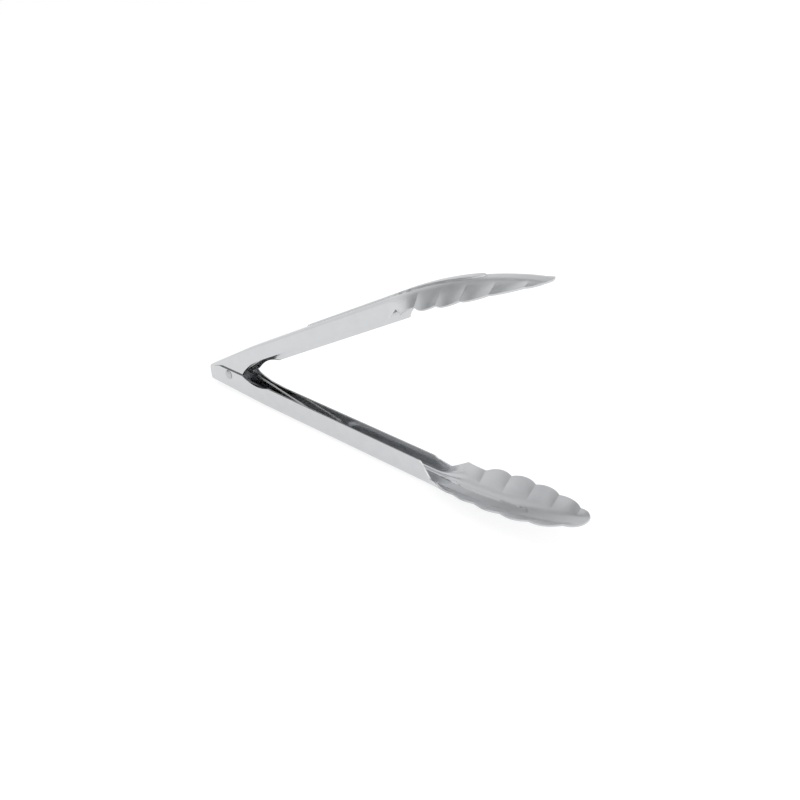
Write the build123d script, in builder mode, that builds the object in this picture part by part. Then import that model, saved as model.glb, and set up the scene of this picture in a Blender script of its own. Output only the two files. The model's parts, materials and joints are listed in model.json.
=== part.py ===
from build123d import *
from math import asin, atan2, cos, degrees, pi, radians, sin, sqrt
import os

os.makedirs("parts", exist_ok=True)

# Spring loaded scalloped kitchen tongs: two identical stamped arms, one of them turned over,
# on a rivet that also carries the torsion spring.
# Arm coordinates: origin on the pivot axis, +X to the jaw, +Y along the rivet, web at -Z.
# Each arm has one outer cheek (at -Y) and one inner cheek (at +Y), so that the two arms nest.

# ---- driving sizes (mm) ----
jaw_reach = 282.0  # pivot axis to jaw tip
heel_reach = 22.5  # pivot axis to heel end
jaw_length = 104.0  # jaw tip back to the end of the straight channel
sheet = 0.9  # sheet thickness
handle_width = 16.0  # over both cheeks of the nested pair
web_depth = 13.0  # pivot axis to the outer face of the web
bend_radius = 3.0  # outer radius of the channel bends
heel_rise = 2.0  # how far the web climbs towards the heel
open_angle = 26.0  # angle between the arms when the spring has opened them
flange_over = 2.4  # outer flange edge, past the pivot axis
flange_drop = 1.2  # how much lower that edge is at the jaw
flange_short = 2.6  # inner flange edge, short of the pivot axis
cheek_over = 3.7  # outer cheek edge, past the pivot axis
cheek_length = 16.0  # pivot axis to the front of the outer cheek
notch_length = 28.0  # finger notch in the outer flange, in front of the cheek
notch_depth = 3.3
flange_slant = 8.5  # length of the slanted end of each flange
jaw_width = 37.5  # over the scallops
jaw_climb = 92.0  # length over which the bowl floor climbs to the tip
scallop_depth = 2.0
scallop_pitch = 15.9
scallops = 5  # on each side, besides the round tip
tip_rise = 3.4  # outer face of the tip above the pivot plane, so the two tips meet first
tip_radius = 8.8
rib_start = 106.0  # pressed rib, from here to the middle of the jaw
rib_back = 39.0  # jaw tip back to the end of the rib
rib_width = 8.0
rib_height = 0.8
rivet_diameter = 4.0
head_diameter = 7.0
head_height = 1.7
wire_diameter = 1.5
coil_turns = 4
leg_reach = 96.0  # pivot axis to the end of each spring leg

# ---- fits (mm) ----
cheek_clearance = 0.15  # an outer cheek and the inner cheek behind it
rivet_clearance = 0.05  # radial, rivet shank in the cheek holes
head_clearance = 0.1  # tail head of the rivet and the cheek that turns under it
turn_gap = 0.1  # between neighbouring turns of the coil
leg_clearance = 0.1  # spring leg and the web it presses on
lobe_clearance = 1.5  # inner cheek lobe and the web of the other arm, at the heel
coil_clearance = 0.5  # all round the rivet, so the coil can wind down

# ---- derived ----
half_outer = handle_width / 2
half_inner = half_outer - sheet - cheek_clearance
half_channel = (half_outer + half_inner) / 2
channel_centre = (half_inner - half_outer) / 2
channel_end = jaw_reach - jaw_length
climb_start = jaw_reach - jaw_climb
rib_end = jaw_reach - rib_back
opening = radians(open_angle)
heel_depth = web_depth - heel_rise
lobe_radius = heel_depth - sheet - lobe_clearance


def smooth(t):
    t = min(1.0, max(0.0, t))
    return t * t * t * (10 + t * (6 * t - 15))


# ---- cross-section of the sheet at a distance x from the pivot ----
wall_top = lobe_radius + 1.5  # the raw wall stands above every trimmed edge
flare = 32.0  # length over which the channel opens into the bowl
bowl_reach = jaw_width / 2 + 7.0
bowl_radius = 12.0


def floor_height(x):
    climb = max(0.0, (x - climb_start) / jaw_climb)
    return -web_depth + (web_depth + tip_rise) * climb**2.25


def section(x):
    """half flat, bend radius, wall lean in degrees and wall length"""
    opened = smooth((x - channel_end) / flare)
    spread = max(0.0, (x - channel_end - flare + 2) / (jaw_length - flare + 8))
    lean = (1 - opened) * 90 + opened * (40 - 28 * spread**1.3)
    radius = bend_radius + opened * (bowl_radius - bend_radius)
    flat = (half_channel - bend_radius) * (1 - opened) + 2.0 * opened
    run = (bowl_reach - flat - radius * sin(radians(lean))) * opened
    wall = run + (1 - opened) * (wall_top + web_depth - bend_radius)
    return flat, radius, lean, wall


def draw_section(x, base):
    flat, radius, lean, wall = section(x)
    opened = smooth((x - channel_end) / flare)
    shift = channel_centre * (1 - opened)
    turn = radians(lean)

    def points(side, r, gap):
        foot = (shift + side * flat, base + gap)
        half = (
            shift + side * (flat + r * sin(turn / 2)),
            base + gap + r * (1 - cos(turn / 2)),
        )
        top = (shift + side * (flat + r * sin(turn)), base + gap + r * (1 - cos(turn)))
        rim = (top[0] + side * wall * cos(turn), top[1] + wall * sin(turn))
        return foot, half, top, rim

    with BuildSketch(Plane.YZ.offset(x)) as profile:
        with BuildLine():
            far = points(1, radius, 0.0)
            near = points(-1, radius, 0.0)
            far_in = points(1, radius - sheet, sheet)
            near_in = points(-1, radius - sheet, sheet)
            Line(near[3], near[2])
            ThreePointArc(near[2], near[1], near[0])
            Line(near[0], far[0])
            ThreePointArc(far[0], far[1], far[2])
            Line(far[2], far[3])
            Line(far[3], far_in[3])
            Line(far_in[3], far_in[2])
            ThreePointArc(far_in[2], far_in[1], far_in[0])
            Line(far_in[0], near_in[0])
            ThreePointArc(near_in[0], near_in[1], near_in[2])
            Line(near_in[2], near_in[3])
            Line(near_in[3], near[3])
        make_face()
    return profile.sketch.face()


# ---- scalloped plan outline of the jaw ----
widest = jaw_reach - 50.0
notch_half = jaw_width / 2 - scallop_depth + 0.25
tip_centre = jaw_reach - tip_radius
bow = (tip_centre - widest) / sqrt(1 - (tip_radius / notch_half) ** 2)


def notch(i):
    x = tip_centre - scallop_pitch * (scallops - i)
    return x, notch_half * sqrt(1 - ((x - widest) / bow) ** 2)


wing_start = (channel_end + flange_slant, half_outer + 1.2)
corners = [wing_start] + [notch(i) for i in range(1, scallops + 1)]

# ---- one stamped arm ----
heel_front = heel_reach * 1.6
heel_profiles = [
    draw_section(-heel_reach - 3, -web_depth + heel_rise),
    draw_section(heel_front, -web_depth),
]
jaw_stations = [0, 7, 14, 21, 28, 36, 48, 60, 72, 84, 95, jaw_length + 4]
jaw_profiles = [draw_section(channel_end + x, floor_height(channel_end + x)) for x in jaw_stations]

with BuildPart() as sheet_metal:
    loft(heel_profiles, ruled=True)
    extrude(heel_profiles[1], amount=channel_end - heel_front, dir=(1, 0, 0))
    loft(jaw_profiles)

with BuildPart() as rib:
    with BuildSketch(Plane.XY.offset(-web_depth - 5)):
        with Locations(((rib_start + rib_end) / 2, 0)):
            SlotOverall(rib_end - rib_start, rib_width)
    extrude(amount=web_depth + 5)
    with Locations((0, 0, -rib_height)):
        add(sheet_metal.part, mode=Mode.INTERSECT)

# everything of the sheet that is kept: outer cheek side, inner cheek side, jaw
low = (-heel_reach, -web_depth - 5)
slant_top = channel_end + 2.0
slant = (slant_top + flange_slant, -web_depth / 2)
foot = (slant_top + flange_slant, -web_depth - 5)

with BuildPart() as outer_side:
    with BuildSketch(Plane.XZ.offset(-channel_centre)):
        with BuildLine():
            heel = (-heel_reach, 0.3)
            rear = (-heel_reach * 0.45, cheek_over)
            front = (cheek_length, cheek_over)
            bottom = (cheek_length + notch_length * 0.46, cheek_over - notch_depth)
            back = (cheek_length + notch_length, flange_over)
            corner = (slant_top, flange_over - flange_drop)
            Line(low, heel)
            Line(heel, rear)
            Line(rear, front)
            ThreePointArc(front, bottom, back)
            Line(back, corner)
            Line(corner, slant)
            Line(slant, foot)
            Line(foot, low)
        make_face()
    extrude(amount=handle_width)
    corners_at = [heel, rear, front, back, corner]
    for (x, z), r in zip(corners_at, [2.5, 6.0, 1.5, 3.0, 2.0]):
        fillet(outer_side.edges().filter_by(Axis.Y).sort_by_distance((x, -half_outer, z))[0], r)

with BuildPart() as inner_side:
    with BuildSketch(Plane.XZ.offset(-channel_centre)):
        with BuildLine():
            back_angle = radians(150)
            front_angle = radians(62)
            lobe_back = (lobe_radius * cos(back_angle), lobe_radius * sin(back_angle))
            lobe_top = (0, lobe_radius)
            lobe_front = (lobe_radius * cos(front_angle), lobe_radius * sin(front_angle))
            heel = (-heel_reach, -3.5)
            flank = (cheek_length - 1.0, cheek_over + 0.2)
            root = (cheek_length + 7.0, 0.3)
            end = (cheek_length + notch_length, -flange_short)
            corner = (slant_top - 1.0, -flange_short - 0.3)
            Line(low, heel)
            Line(heel, lobe_back)
            ThreePointArc(lobe_back, lobe_top, lobe_front)
            tangents = [(sin(front_angle), -cos(front_angle)), (1, -0.02)]
            Spline(lobe_front, flank, root, end, tangents=tangents)
            Line(end, corner)
            Line(corner, slant)
            Line(slant, foot)
            Line(foot, low)
        make_face()
    extrude(amount=-handle_width)
    for (x, z), r in zip([heel, corner], [2.5, 2.0]):
        fillet(inner_side.edges().filter_by(Axis.Y).sort_by_distance((x, half_outer, z))[0], r)

with BuildPart() as kept:
    with BuildSketch(Plane.XY.offset(-web_depth - 5)):
        with BuildLine() as jaw_half:
            Line((wing_start[0], 0), wing_start)
            for a, b in zip(corners, corners[1:]):
                SagittaArc(a, b, scallop_depth)
            tip_side = (tip_centre + tip_radius * cos(pi / 4), tip_radius * sin(pi / 4))
            ThreePointArc(corners[-1], tip_side, (jaw_reach, 0))
            Line((jaw_reach, 0), (wing_start[0], 0))
        make_face()
        mirror(about=Plane.XZ)
    extrude(amount=2 * web_depth + 5)
    # the wing leaves the flange low and rises into the first scallop
    with BuildSketch(Plane.XZ.offset(-jaw_width)):
        Polygon(
            (channel_end, web_depth),
            (channel_end, -web_depth * 0.52),
            (slant[0] + 1, -web_depth * 0.52),
            (notch(1)[0] - scallop_pitch * 0.25, 0),
            (notch(1)[0] - scallop_pitch * 0.25, web_depth),
            align=None,
        )
    extrude(amount=2 * jaw_width, mode=Mode.SUBTRACT)
    add(outer_side.part)
    add(inner_side.part)

with BuildPart() as arm:
    add(sheet_metal.part)
    with BuildSketch(Plane.XY.offset(-web_depth - 5)):
        with Locations(((rib_start + rib_end) / 2, 0)):
            SlotOverall(rib_end - rib_start - 2 * sheet, rib_width - 2 * sheet)
    extrude(amount=web_depth + 5, mode=Mode.SUBTRACT)
    add(rib.part)
    add(kept.part, mode=Mode.INTERSECT)
    with BuildSketch(Plane.XZ.offset(-handle_width)):
        Circle(rivet_diameter / 2 + rivet_clearance)
    extrude(amount=2 * handle_width, mode=Mode.SUBTRACT)


# ---- rivet, with a domed head outside each outer cheek ----
with BuildPart() as rivet_blank:
    with BuildSketch(Plane.XY):
        with BuildLine():
            shank = rivet_diameter / 2
            head = head_diameter / 2
            tail = head - 0.3
            lip = 0.3
            near = -half_outer
            far = half_outer + head_clearance
            Line((0, far + head_height), (0, near - head_height))
            dome = head_height - lip
            near_dome = (head**2 + dome**2) / (2 * dome)
            tail_dome = (tail**2 + dome**2) / (2 * dome)
            near_mid = (head / 2, near - head_height + near_dome - sqrt(near_dome**2 - head**2 / 4))
            tail_mid = (tail / 2, far + head_height - tail_dome + sqrt(tail_dome**2 - tail**2 / 4))
            ThreePointArc((0, near - head_height), near_mid, (head, near - lip))
            Line((head, near - lip), (head, near))
            Line((head, near), (shank, near))
            Line((shank, near), (shank, far))
            Line((shank, far), (tail, far))
            Line((tail, far), (tail, far + lip))
            ThreePointArc((tail, far + lip), tail_mid, (0, far + head_height))
        make_face()
    revolve(axis=Axis.Y)

# ---- torsion spring: a coil round the rivet and one straight leg into each arm ----
wire = wire_diameter / 2
coil_radius = rivet_diameter / 2 + coil_clearance + wire
leg_end_z = -web_depth + sheet + leg_clearance + wire
leg_span = sqrt(leg_reach**2 + leg_end_z**2)
leg_fall = atan2(-leg_end_z, leg_reach) + asin(coil_radius / leg_span)
leg_length = sqrt(leg_span**2 - coil_radius**2)
start_turn = 90 - degrees(leg_fall)
end_turn = open_angle - start_turn + 360 * coil_turns
coil_pitch = wire_diameter + turn_gap
coil_length = coil_pitch * (end_turn - start_turn) / 360

with BuildPart() as coil:
    with BuildLine() as turns:
        Helix(coil_pitch, coil_length, coil_radius)
    with BuildSketch(Plane(turns.line @ 0, z_dir=turns.line % 0)):
        Circle(wire)
    sweep(path=turns.line, is_frenet=True)

with BuildPart() as spring_blank:
    turn = radians(start_turn)
    coil_plane = Plane((0, coil_length / 2, 0), x_dir=(cos(turn), 0, sin(turn)), z_dir=(0, -1, 0))
    with Locations(coil_plane.location):
        add(coil.part)
    for side, turn in ((1, start_turn), (-1, end_turn)):
        a = radians(turn)
        base = Vector(coil_radius * cos(a), side * coil_length / 2, coil_radius * sin(a))
        along = Vector(side * sin(a), 0, -side * cos(a))
        leave = along + Vector(0, side * coil_pitch / (2 * pi * coil_radius), 0)
        ease = base + along * wire_diameter * 2 + Vector(0, side * coil_pitch / 16, 0)
        with BuildLine() as leg:
            Spline(base, ease, tangents=(leave, along))
            Line(ease, ease + along * (leg_length - wire_diameter * 2))
        with BuildSketch(Plane(base, z_dir=leave)):
            Circle(wire)
        sweep(path=leg.line)

# ---- place every piece: X and Y centred on the open tongs, Z = 0 under the lower arm ----
heel_back = heel_reach * cos(opening) + heel_depth * sin(opening)
pivot_x = (heel_back - jaw_reach) / 2
pivot_z = web_depth + rib_height
pivot = Location((pivot_x, 0, pivot_z))
raised = pivot * Location((0, 0, 0), (0, -open_angle, 0)) * Location((0, 0, 0), (180, 0, 0))

with BuildPart() as lower_arm:
    with Locations(pivot):
        add(arm.part)

with BuildPart() as upper_arm:
    with Locations(raised):
        add(arm.part)

with BuildPart() as rivet:
    with Locations(pivot):
        add(rivet_blank.part)

with BuildPart() as spring:
    with Locations(pivot):
        add(spring_blank.part)

lower_arm.part.label = "lower_arm"
upper_arm.part.label = "upper_arm"
rivet.part.label = "pivot_rivet"
spring.part.label = "torsion_spring"

export_step(lower_arm.part, "parts/lower_arm.step")
export_step(upper_arm.part, "parts/upper_arm.step")
export_step(rivet.part, "parts/pivot_rivet.step")
export_step(spring.part, "parts/torsion_spring.step")
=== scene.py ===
import json
import math
import bpy
import bmesh
import numpy as np
from mathutils import Matrix, Vector


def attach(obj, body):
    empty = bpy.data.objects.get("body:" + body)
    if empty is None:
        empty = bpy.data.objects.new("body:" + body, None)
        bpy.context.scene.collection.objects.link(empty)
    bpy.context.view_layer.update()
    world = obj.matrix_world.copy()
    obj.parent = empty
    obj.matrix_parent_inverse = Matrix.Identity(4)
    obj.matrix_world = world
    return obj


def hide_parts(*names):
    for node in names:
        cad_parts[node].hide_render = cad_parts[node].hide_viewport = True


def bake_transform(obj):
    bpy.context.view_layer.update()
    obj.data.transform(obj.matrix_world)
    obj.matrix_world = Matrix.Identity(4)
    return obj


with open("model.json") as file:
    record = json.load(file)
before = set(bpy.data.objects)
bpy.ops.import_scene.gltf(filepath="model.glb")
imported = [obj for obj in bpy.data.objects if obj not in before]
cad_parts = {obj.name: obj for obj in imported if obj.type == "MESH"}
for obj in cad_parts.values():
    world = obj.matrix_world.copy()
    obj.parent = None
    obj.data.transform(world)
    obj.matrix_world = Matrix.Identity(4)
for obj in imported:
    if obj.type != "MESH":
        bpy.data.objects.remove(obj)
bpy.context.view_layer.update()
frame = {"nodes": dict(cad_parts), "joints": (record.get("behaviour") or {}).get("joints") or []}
MM = 0.001

# ---- sizes of the stamping, in millimetres, in the arm's own frame: pivot at 0, +X to the jaw ----
JAW_REACH = 282.0  # pivot to the tip of the jaw
HEEL = 22.5  # pivot back to the heel
JAW_LENGTH = 104.0
SHEET = 0.9
FIT = 0.15  # gap between the lapped cheeks
HALF_OUT = 8.0  # middle of the arm to the outside of the outer cheek
HALF_IN = HALF_OUT - SHEET - FIT
HALF_CH = (HALF_OUT + HALF_IN) / 2
SHIFT = (HALF_IN - HALF_OUT) / 2
CH_END = JAW_REACH - JAW_LENGTH
WEB = 13.0  # pivot plane down to the outside of the web
BEND = 3.0  # outer radius between the web and a cheek

RAMP_AT = 36.0  # the web rises from here towards the heel
RAMP_RISE = 2.0
RAMP_RUN = 61.5
CLIMB = 92.0  # length over which the bottom of the jaw rises to the tip
CLIMB_AT = JAW_REACH - CLIMB
CLIMB_POWER = 2.25
TIP_RISE = 3.4  # outside of the tip above the pivot plane

FLARE = 32.0  # length over which the channel opens into the bowl
BOWL_R = 12.0
BOWL_FLAT = 2.0
CHEEK_LEAN = 90  # degrees from the web
BOWL_LEAN = 40
LEAN_LOST = 28  # flatter by nearly this at the tip
LEAN_POWER = 1.3
FLATTEN_LEAD = 2
FLATTEN_TAIL = 8

JAW_HALF = 18.75
SCALLOP = 2.0
PITCH = 15.9
COUNT = 5
TIP_R = 8.8
TIP_X = JAW_REACH - TIP_R
WIDEST = JAW_REACH - 50.0
NOTCH_HALF = JAW_HALF - SCALLOP + 0.25
BOW = (TIP_X - WIDEST) / math.sqrt(1 - (TIP_R / NOTCH_HALF) ** 2)

FLUTE = 0.62
FLUTE_LEVEL = 0.6  # share of the swell that is taken off everywhere, so the notches go inwards
FLUTE_LEAD = 9.0  # half a lobe before the first notch
FLUTE_START_RUN = 16.0
FLUTE_TIP_RUN = 6.0
FLUTE_WALL_START = 0.3  # the swell starts at this share of the way up the wall
FLUTE_WALL_RUN = 0.6
RIB_A = 106.0
RIB_B = 243.0
RIB_HALF = 4.0
RIB_H = 0.8
RIB_EDGE = 0.6
RIB_END_STRETCH = 0.45

RIVET_HOLE = 2.05  # radius
EDGE_BREAK = 0.16
OPEN = math.radians(26.0)
PIVOT = Vector(frame["joints"][0]["pos_m"])


def smooth(t):
    t = np.clip(t, 0.0, 1.0)
    return t * t * t * (10 + t * (6 * t - 15))


# ---- cross-section of the sheet ----
def floor_height(x):
    """outside of the web, or of the bottom of the jaw"""
    climb = max(0.0, (x - CLIMB_AT) / CLIMB)
    if x < RAMP_AT:
        return -WEB + RAMP_RISE * (RAMP_AT - x) / RAMP_RUN
    return -WEB + (WEB + TIP_RISE) * climb**CLIMB_POWER


def section(x):
    """half flat, bend radius, wall lean and sideways shift: a square channel that opens into the bowl"""
    opened = float(smooth((x - CH_END) / FLARE))
    spread = max(0.0, (x - CH_END - FLARE + FLATTEN_LEAD) / (JAW_LENGTH - FLARE + FLATTEN_TAIL))
    lean = (1 - opened) * CHEEK_LEAN + opened * (BOWL_LEAN - LEAN_LOST * spread**LEAN_POWER)
    radius = BEND + opened * (BOWL_R - BEND)
    flat = (HALF_CH - BEND) * (1 - opened) + BOWL_FLAT * opened
    return flat, radius, math.radians(lean), SHIFT * (1 - opened)


def cross(x, s, side):
    """outer point (y, z) and outward normal at arc length s from the middle of the web"""
    flat, radius, lean, shift = section(x)
    base = floor_height(x)
    turn = np.clip((s - flat) / radius, 0.0, lean)
    rest = np.maximum(0.0, s - flat - radius * lean)
    y = np.minimum(s, flat) + radius * np.sin(turn) + rest * math.cos(lean)
    z = radius * (1 - np.cos(turn)) + rest * math.sin(lean)
    return shift + side * y, base + z, side * np.sin(turn), -np.cos(turn)


# ---- outline of the jaw in plan ----
def notch(i):
    x = TIP_X - PITCH * (COUNT - i)
    return x, NOTCH_HALF * math.sqrt(1 - ((x - WIDEST) / BOW) ** 2)


WING_RUN = 8.5
WING_OUT = 1.2
WING_X = CH_END + WING_RUN
CORNERS = [(WING_X, HALF_OUT + WING_OUT)] + [notch(i) for i in range(1, COUNT + 1)]


def outline(x):
    """half width of the jaw: arcs between the notches and a round tip, or -1 before the jaw"""
    if x < CORNERS[0][0]:
        return -1.0
    if x >= TIP_X:
        return math.sqrt(max(0.0, TIP_R**2 - (x - TIP_X) ** 2))
    (ax, ay), (bx, by) = next(span for span in zip(CORNERS, CORNERS[1:]) if x <= span[1][0])
    chord = math.hypot(bx - ax, by - ay)
    radius = chord**2 / (8 * SCALLOP) + SCALLOP / 2
    nx, ny = -(by - ay) / chord, (bx - ax) / chord
    cx = (ax + bx) / 2 - nx * (radius - SCALLOP)
    cy = (ay + by) / 2 - ny * (radius - SCALLOP)
    return cy + math.sqrt(max(0.0, radius**2 - (x - cx) ** 2))


# ---- rims of the two cheeks ----
def soften(xs, zs, width):
    step = xs[1] - xs[0]
    n = int(3 * width / step)
    kernel = np.exp(-0.5 * (np.arange(-n, n + 1) * step / width) ** 2)
    padded = np.concatenate([np.full(n, zs[0]), zs, np.full(n, zs[-1])])
    return np.convolve(padded, kernel / kernel.sum(), "valid")


def rim(xs, zs):
    """rim height along RIM_X through the points, with soft corners and a rounded heel"""
    return soften(RIM_X, np.interp(RIM_X, xs, zs), RIM_SOFT) + HEEL_ROUND


RIM_X = np.arange(-HEEL, 190.0, 0.1)
RIM_SOFT = 0.9
HEEL_R = 2.5
HEEL_ROUND = np.sqrt(np.maximum(0.0, HEEL_R**2 - np.maximum(0.0, HEEL_R - (RIM_X + HEEL)) ** 2)) - HEEL_R

# outer cheek: rises from the heel, is level past the rivet, dips, then runs nearly straight
CHEEK_TOP = 3.7
DIP_AT = 16.0
DIP_RUN = 28.0
DIP_DEPTH = 2.75
DIP_FALL = 1.3
dip = np.linspace(0, 1, 15)
dip_z = CHEEK_TOP - DIP_FALL * dip - DIP_DEPTH * np.sin(np.pi * dip) ** 0.9
OUTER = rim(
    np.concatenate([[-HEEL, -10.1], DIP_AT + DIP_RUN * dip, [180.0]]),
    np.concatenate([[0.3, CHEEK_TOP], dip_z, [1.2]]),
)

# inner cheek: a lobe round the rivet, then a curve down to a straight run
LOBE = 8.6
lobe = np.radians(np.linspace(150, 62, 25))
LOBE_TAIL = [(9.5, 5.9), (15.0, 3.4), (19.0, 1.5), (23.0, 0.2), (31.0, -1.7), (44.0, -2.6), (179.0, -2.9)]
INNER = rim(
    np.concatenate([[-HEEL], LOBE * np.cos(lobe), [x for x, _ in LOBE_TAIL]]),
    np.concatenate([[-3.5], LOBE * np.sin(lobe), [z for _, z in LOBE_TAIL]]),
)

# both cheeks end in a slant down to half the web's depth
OUTER_STOP = 2.0
INNER_STOP = 1.0
SLANT_X = CH_END + OUTER_STOP + WING_RUN
SAG = 0.5  # a little lower over the first stretch of the slant
SAG_RUN = 3
NO_CHEEK = -99.0


def side_top(x, side):
    if x > SLANT_X:
        return NO_CHEEK
    top = float(np.interp(x, RIM_X, OUTER if side < 0 else INNER))
    start = CH_END + (OUTER_STOP if side < 0 else INNER_STOP)
    if x > start:
        top = top + (-WEB / 2 - top) * (x - start) / (SLANT_X - start)
        if x < start + SAG_RUN:
            top -= SAG * math.sin(math.pi * (x - start) / (SLANT_X - start))
    return top


WING_LOW = SLANT_X + 1
WING_HIGH = notch(1)[0] - PITCH * 0.25
WING_LOW_Z = -WEB * 0.52


def wing_top(x):
    """the jaw's wall starts low beyond the slant and rises to the first lobe"""
    if x > WING_HIGH:
        return WEB
    return WING_LOW_Z + max(0.0, x - WING_LOW) / (WING_HIGH - WING_LOW) * -WING_LOW_Z


def keep(x, y, z, side):
    jaw = outline(x)
    return z <= side_top(x, side) or (jaw > 0 and abs(y) <= jaw and z <= wing_top(x))


TRACE_STEP = 0.7
TRACE_END = 45.0
HALVINGS = 14


def reach(x, side):
    """arc length at which the section is trimmed"""
    lo, hi = 0.0, 0.0
    while hi < TRACE_END:
        hi = lo + TRACE_STEP
        y, z, _, _ = cross(x, np.array(hi), side)
        if not keep(x, float(y), float(z), side):
            break
        lo = hi
    for _ in range(HALVINGS):
        mid = (lo + hi) / 2
        y, z, _, _ = cross(x, np.array(mid), side)
        if keep(x, float(y), float(z), side):
            lo = mid
        else:
            hi = mid
    return lo


# ---- relief ----
def flute(x, share):
    """outward swell of each lobe, pinched in at each notch"""
    first_notch = CORNERS[1][0]
    if x >= TIP_X:
        phase = 0.5 * min(1.0, (x - TIP_X) / TIP_R)
    elif x <= first_notch:
        phase = 0.5 + 0.5 * min(1.0, max(0.0, (x - first_notch + FLUTE_LEAD) / FLUTE_LEAD))
    else:
        phase = ((x - first_notch) / PITCH) % 1.0
    begin = float(smooth((x - CORNERS[0][0]) / FLUTE_START_RUN))
    end = float(smooth((JAW_REACH - x) / FLUTE_TIP_RUN))
    swell = abs(math.sin(math.pi * phase)) - FLUTE_LEVEL
    return FLUTE * begin * end * swell * smooth((share - FLUTE_WALL_START) / FLUTE_WALL_RUN)


def rib_lift(x, y):
    nearest = min(max(x, RIB_A + RIB_HALF), RIB_B - RIB_HALF)
    gap = np.hypot((x - nearest) * RIB_END_STRETCH, y)
    return RIB_H * smooth((RIB_HALF + 0.1 - gap) / RIB_EDGE)


# ---- mesh of one arm: a grid of rows along X and columns across the sheet ----
ROW_SPANS = [  # start of each span and the distance between its rows, then the end
    (-HEEL, 0.35),
    (-15.0, 0.7),
    (-3.0, 0.3),
    (3.0, 0.7),
    (50.0, 1.5),
    (CH_END - 2, 0.45),
    (CH_END + 8, 0.4),
    (JAW_REACH - 8.8, 0.35),
    (JAW_REACH - 1.2, 0.12),
    (JAW_REACH, None),
]
WEB_COLUMNS = 12
BEND_COLUMNS = 14
WALL_COLUMNS = 20
WELD = 2e-6  # metres
BESIDE_SLANT = 0.01
BESIDE_TIP = 0.004
UV_UNIT = 100


def stations():
    rows = []
    for (a, step), (b, _) in zip(ROW_SPANS, ROW_SPANS[1:]):
        n = max(2, int(round((b - a) / step)))
        rows += list(np.linspace(a, b, n, endpoint=False))
    rows += [c[0] for c in CORNERS] + [SLANT_X - BESIDE_SLANT, SLANT_X + BESIDE_SLANT, JAW_REACH - BESIDE_TIP]
    return sorted(set(round(r, 4) for r in rows))


def row(x):
    """points across the sheet at x, from one rim to the other, each with its distance from the middle"""
    flat, radius, lean, _ = section(x)
    points, marks = [], []
    for side in (-1, 1):
        top = reach(x, side)
        a = min(flat, 0.3 * top)
        b = min(flat + radius * lean, a + 0.5 * (top - a))
        s = np.concatenate(
            [
                np.linspace(0, a, WEB_COLUMNS, endpoint=False),
                np.linspace(a, b, BEND_COLUMNS, endpoint=False),
                np.linspace(b, top, WALL_COLUMNS),
            ]
        )
        y, z, ny, nz = cross(x, s, side)
        out = rib_lift(x, y) + flute(x, s / max(top, 1e-6))
        y, z = y + ny * out, z + nz * out
        half = [(x, float(py), float(pz)) for py, pz in zip(y, z)]
        half_marks = [side * float(v) for v in s]
        if side < 0:
            points, marks = half[::-1], half_marks[::-1]
        else:
            points, marks = points + half[1:], marks + half_marks[1:]
    return points, marks


def hole(bm, centre, radius):
    """rivet hole through both cheeks: faces inside it go, and its edge is drawn onto the circle"""
    def off(co):
        return Vector((co.x - centre.x, 0, co.z - centre.z))
    gone = [f for f in bm.faces if off(f.calc_center_median()).length < radius]
    rim_verts = {v for f in gone for v in f.verts if any(g not in gone for g in v.link_faces)}
    bmesh.ops.delete(bm, geom=gone, context="FACES")
    for v in rim_verts:
        if v.is_valid:
            d = off(v.co)
            v.co += d.normalized() * radius - d


def link_mesh(bm, name):
    mesh = bpy.data.meshes.new(name)
    bm.to_mesh(mesh)
    bm.free()
    obj = bpy.data.objects.new(name, mesh)
    bpy.context.scene.collection.objects.link(obj)
    return obj


def arm_mesh(name, place):
    bm = bmesh.new()
    uv = bm.loops.layers.uv.new("sheet")
    grid, flat_uv = [], []
    for x in stations():
        points, marks = row(x)
        grid.append([bm.verts.new(place @ (Vector(p) * MM)) for p in points])
        flat_uv.append([(x / UV_UNIT, m / UV_UNIT) for m in marks])
    for i in range(len(grid) - 1):
        for j in range(len(grid[0]) - 1):
            corners = [(i, j), (i, j + 1), (i + 1, j + 1), (i + 1, j)]
            face = bm.faces.new([grid[a][b] for a, b in corners])
            face.smooth = True
            for loop, (a, b) in zip(face.loops, corners):
                loop[uv].uv = flat_uv[a][b]
    bmesh.ops.remove_doubles(bm, verts=bm.verts, dist=WELD)
    hole(bm, place.translation, RIVET_HOLE * MM)
    return link_mesh(bm, name)


def bake(obj):
    """keeps the result of the modifiers as the mesh"""
    bpy.context.view_layer.update()
    done = bpy.data.meshes.new_from_object(obj.evaluated_get(bpy.context.evaluated_depsgraph_get()))
    obj.modifiers.clear()
    obj.data = done


def thicken(arm):
    mod = arm.modifiers.new("sheet", "SOLIDIFY")
    mod.thickness = SHEET * MM
    mod.offset = -1
    mod.use_even_offset = True
    bake(arm)
    mod = arm.modifiers.new("edges", "BEVEL")
    mod.width = EDGE_BREAK * MM
    mod.segments = 2
    mod.limit_method = "ANGLE"
    mod.angle_limit = math.radians(55)
    bake(arm)
    for p in arm.data.polygons:
        p.use_smooth = True


# ---- shader helpers ----
def math_node(tree, kind, *terms):
    node = tree.nodes.new("ShaderNodeMath")
    node.operation = kind
    for socket, value in zip(node.inputs, terms):
        if isinstance(value, (int, float)):
            socket.default_value = value
        else:
            tree.links.new(value, socket)
    return node.outputs[0]


def map_range(tree, value, start, end, low, high, kind="SMOOTHSTEP"):
    node = tree.nodes.new("ShaderNodeMapRange")
    node.interpolation_type = kind
    for socket, number in (("From Min", start), ("From Max", end), ("To Min", low), ("To Max", high)):
        node.inputs[socket].default_value = number
    tree.links.new(value, node.inputs["Value"])
    return node.outputs["Result"]


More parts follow.
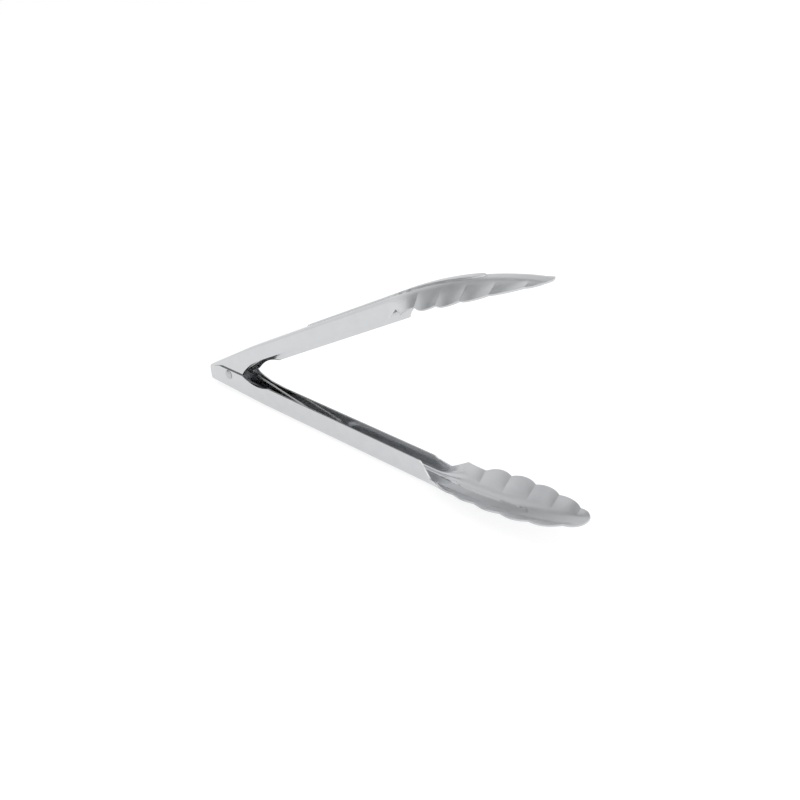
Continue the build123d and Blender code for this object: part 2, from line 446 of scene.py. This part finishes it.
def noise(tree, source, scale, detail):
    stretch = tree.nodes.new("ShaderNodeMapping")
    stretch.inputs["Scale"].default_value = scale
    tree.links.new(source, stretch.inputs["Vector"])
    texture = tree.nodes.new("ShaderNodeTexNoise")
    texture.inputs["Scale"].default_value = 1.0
    texture.inputs["Detail"].default_value = detail
    tree.links.new(stretch.outputs["Vector"], texture.inputs["Vector"])
    return texture.outputs["Fac"]


# ---- materials ----
def steel(name, base, rough, grain, mottle, bump, use_uv=True, satin=None):
    """rough: least and most roughness; satin: start, end and gain of the rougher jaw along the sheet"""
    mat = bpy.data.materials.new(name)
    mat.use_nodes = True
    tree = mat.node_tree
    shader = tree.nodes["Principled BSDF"]
    shader.inputs["Metallic"].default_value = 1.0
    source = tree.nodes.new("ShaderNodeTexCoord").outputs["UV" if use_uv else "Object"]
    unit = 1.0 if use_uv else 10.0
    lines = noise(tree, source, (grain[0] * unit, grain[1] * unit, grain[1] * unit), 6.0)
    cloud = noise(tree, source, (mottle * unit, mottle * unit, mottle * unit), 4.0)
    both = math_node(tree, "MULTIPLY_ADD", lines, 0.45, math_node(tree, "MULTIPLY", cloud, 0.55))
    roughness = map_range(tree, both, 0.3, 0.7, rough[0], rough[1], "LINEAR")
    if satin:
        along = tree.nodes.new("ShaderNodeSeparateXYZ")
        tree.links.new(source, along.inputs["Vector"])
        jaw = map_range(tree, along.outputs["X"], satin[0], satin[1], 0.0, satin[2])
        roughness = math_node(tree, "ADD", roughness, jaw)
    tree.links.new(roughness, shader.inputs["Roughness"])
    ramp = tree.nodes.new("ShaderNodeValToRGB")
    for element, position, dim in zip(ramp.color_ramp.elements, (0.3, 0.7), (0.93, 1.0)):
        element.position = position
        element.color = (*[c * dim for c in base], 1)
    tree.links.new(both, ramp.inputs["Fac"])
    tree.links.new(ramp.outputs["Color"], shader.inputs["Base Color"])
    relief = tree.nodes.new("ShaderNodeBump")
    relief.inputs["Strength"].default_value = bump
    relief.inputs["Distance"].default_value = 0.00005
    tree.links.new(lines, relief.inputs["Height"])
    tree.links.new(relief.outputs["Normal"], shader.inputs["Normal"])
    return mat


arm_steel = steel("arm_steel", (0.60, 0.61, 0.625), (0.09, 0.20), (6, 260), 14, 0.3, True, (1.85, 2.05, 0.22))
# rivet base colour kept darker than the arms as painted shade, standing in for the shadowed crescent on the
# pin head
rivet_steel = steel("rivet_steel", (0.50, 0.505, 0.51), (0.14, 0.28), (90, 90), 30, 0.3, False)
spring_steel = steel("spring_steel", (0.62, 0.61, 0.60), (0.2, 0.35), (90, 90), 30, 0.3, False)


def dress(obj, mat, body, node):
    obj.data.materials.clear()
    obj.data.materials.append(mat)
    if body:
        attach(obj, body)
    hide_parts(node)


# ---- arms: one stamping, and the same turned over and raised ----
at_pivot = Matrix.Translation(PIVOT)
raised = at_pivot @ Matrix.Rotation(-OPEN, 4, "Y") @ Matrix.Rotation(math.pi, 4, "X")
for name, node, body, place in (
    ("arm_lower", "lower_arm", "lower", at_pivot),
    ("arm_upper", "upper_arm", "upper", raised),
):
    arm = arm_mesh(name, place)
    thicken(arm)
    dress(arm, arm_steel, body, node)

# ---- rivet: the CAD piece in a steel whose base colour is darkened as painted shade for the shaded crescent round its head ----
rivet = frame["nodes"]["pivot_rivet"]
rivet.data.materials.clear()
rivet.data.materials.append(rivet_steel)

# ---- torsion spring: leg, coil, leg as one wire ----
WIRE_R = 0.75
COIL_R = 3.25
COIL_PITCH = 1.6
WHOLE_TURNS = 4
LEG_END = 96.0  # pivot to the end of a leg
LEG_GAP = 0.1  # wire to web, at the end of a leg
LEG_Z = -WEB + SHEET + LEG_GAP + WIRE_R
LEG_LENGTH = math.sqrt(LEG_END**2 + LEG_Z**2 - COIL_R**2)
FALL = math.atan2(-LEG_Z, LEG_END) + math.asin(COIL_R / math.hypot(LEG_END, LEG_Z))
FIRST = math.pi / 2 - FALL  # angles round the coil at which the legs leave it
LAST = OPEN - FIRST + 2 * math.pi * WHOLE_TURNS
LONG_Y = COIL_PITCH * (LAST - FIRST) / (2 * math.pi)
COIL_STEPS = 200
LEG_STEPS = 30
WIRE_SIDES = 16
END_TAPER = 0.75
LEG_OUT = 0.1  # the legs step this far outwards from the coil
LEG_OUT_RUN = 3


def leg(side, turn):
    """points of a straight leg, from just off the coil to its end"""
    base = np.array([COIL_R * math.cos(turn), side * LONG_Y / 2, COIL_R * math.sin(turn)])
    along = np.array([side * math.sin(turn), 0, -side * math.cos(turn)])
    distances = [0.6, 1.2, 2, 3, 5] + list(np.linspace(8, LEG_LENGTH, LEG_STEPS))
    return [
        base + along * d + np.array([0, side * LEG_OUT * min(1.0, d / LEG_OUT_RUN), 0])
        for d in distances
    ]


def coil_point(i):
    turn = FIRST + (LAST - FIRST) * i / COIL_STEPS
    return np.array([COIL_R * math.cos(turn), LONG_Y / 2 - LONG_Y * i / COIL_STEPS, COIL_R * math.sin(turn)])


path = leg(1, FIRST)[::-1] + [coil_point(i) for i in range(COIL_STEPS + 1)] + leg(-1, LAST)
bm = bmesh.new()
rings, up = [], np.array([0, 1.0, 0])
for i, p in enumerate(path):
    ahead = path[min(i + 1, len(path) - 1)] - path[max(i - 1, 0)]
    ahead = ahead / np.linalg.norm(ahead)
    up = up - ahead * np.dot(up, ahead)
    up = up / np.linalg.norm(up)
    across = np.cross(ahead, up)
    r = WIRE_R * (END_TAPER if i in (0, len(path) - 1) else 1.0)
    rings.append([
        bm.verts.new(PIVOT + Vector((p + r * (up * math.cos(a) + across * math.sin(a)))) * MM)
        for a in np.linspace(0, 2 * math.pi, WIRE_SIDES, endpoint=False)
    ])
for a, b in zip(rings, rings[1:]):
    for j in range(WIRE_SIDES):
        k = (j + 1) % WIRE_SIDES
        bm.faces.new([a[j], a[k], b[k], b[j]]).smooth = True
bm.faces.new(rings[0][::-1])
bm.faces.new(rings[-1])
bmesh.ops.recalc_face_normals(bm, faces=bm.faces)
spring = link_mesh(bm, "spring_wire")
dress(spring, spring_steel, None, "torsion_spring")
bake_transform(spring)

# ---- floor ----
bm = bmesh.new()
bmesh.ops.create_grid(bm, x_segments=2, y_segments=2, size=30.0)
floor = link_mesh(bm, "floor")
floor.location.z = -0.0001
paint = bpy.data.materials.new("floor_paint")
paint.use_nodes = True
shader = paint.node_tree.nodes["Principled BSDF"]
shader.inputs["Base Color"].default_value = (0.33, 0.33, 0.33, 1)
shader.inputs["Roughness"].default_value = 0.9
shader.inputs["Specular IOR Level"].default_value = 0.0
shader.inputs["Emission Color"].default_value = (1, 1, 1, 1)
shader.inputs["Emission Strength"].default_value = 0.76
floor.data.materials.append(paint)

# ---- light: a bright sky with a dark panel low on the -X side for the steel to mirror ----
world = bpy.data.worlds.new("studio")
bpy.context.scene.world = world
world.use_nodes = True
tree = world.node_tree
sky = tree.nodes["Background"]
sky.inputs["Color"].default_value = (1, 1, 1, 1)
axes = tree.nodes.new("ShaderNodeSeparateXYZ")
tree.links.new(tree.nodes.new("ShaderNodeTexCoord").outputs["Generated"], axes.inputs["Vector"])

height = tree.nodes.new("ShaderNodeValToRGB")
for element in height.color_ramp.elements:
    element.color = (1, 1, 1, 1)
for position, tone in ((0.28, 1.0), (0.42, 0.92), (0.70, 1.0)):
    height.color_ramp.elements.new(position).color = (tone, tone, tone, 1)
tree.links.new(axes.outputs["Z"], height.inputs["Fac"])

panel = map_range(tree, math_node(tree, "MULTIPLY", axes.outputs["X"], -1.0), 0.15, 0.65, 1.0, 0.12)
low = map_range(tree, axes.outputs["Z"], 0.28, 0.40, 0.0, 1.0)
high = map_range(tree, axes.outputs["Z"], 0.50, 0.62, 1.0, 0.0)
band = math_node(tree, "MULTIPLY", low, high)
shade = math_node(tree, "MULTIPLY", band, math_node(tree, "SUBTRACT", 1.0, panel))
level = math_node(tree, "MULTIPLY", height.outputs["Color"], math_node(tree, "SUBTRACT", 1.0, shade))
tree.links.new(level, sky.inputs["Strength"])


def softbox(name, at, look, size, power):
    lamp = bpy.data.lights.new(name, "AREA")
    lamp.shape = "RECTANGLE"
    lamp.size = size[0]
    lamp.size_y = size[1]
    lamp.energy = power
    obj = bpy.data.objects.new(name, lamp)
    obj.location = at
    obj.rotation_euler = (Vector(look) - Vector(at)).to_track_quat("-Z", "Y").to_euler()
    bpy.context.scene.collection.objects.link(obj)


softbox("key", (0.35, 0.1, 1.3), (0, 0, 0.03), (0.9, 0.9), 2.6)
softbox("side", (1.0, 0.6, 0.6), (0, 0, 0.05), (0.6, 0.5), 1.2)

# ---- camera: fitted angles, distance and place of the pivot in the view ----
AZIMUTH = math.radians(44.40)
ELEVATION = math.radians(28.13)
ROLL = math.radians(-2.815)
DISTANCE = 0.5497
PIVOT_RIGHT = -0.11491  # pivot from the middle of the view, in metres
PIVOT_UP = 0.02093
level_right = Vector((math.cos(AZIMUTH), math.sin(AZIMUTH), 0))
look = Vector((
    -math.sin(AZIMUTH) * math.cos(ELEVATION),
    math.cos(AZIMUTH) * math.cos(ELEVATION),
    -math.sin(ELEVATION),
))
level_up = level_right.cross(look)
right = level_right * math.cos(ROLL) + level_up * math.sin(ROLL)
up = level_up * math.cos(ROLL) - level_right * math.sin(ROLL)
cam = bpy.data.cameras.new("camera")
cam.sensor_width = 36.0
cam.lens = 34.884
cam.clip_start = 0.01
cam.clip_end = 20
camera = bpy.data.objects.new("camera", cam)
turn = Matrix((right, up, -look)).transposed().to_4x4()
at = PIVOT - (right * PIVOT_RIGHT + up * PIVOT_UP + look * DISTANCE)
camera.matrix_world = Matrix.Translation(at) @ turn
bpy.context.scene.collection.objects.link(camera)
bpy.context.scene.camera = camera
bpy.context.scene.view_settings.view_transform = "Standard"

bpy.context.view_layer.update()
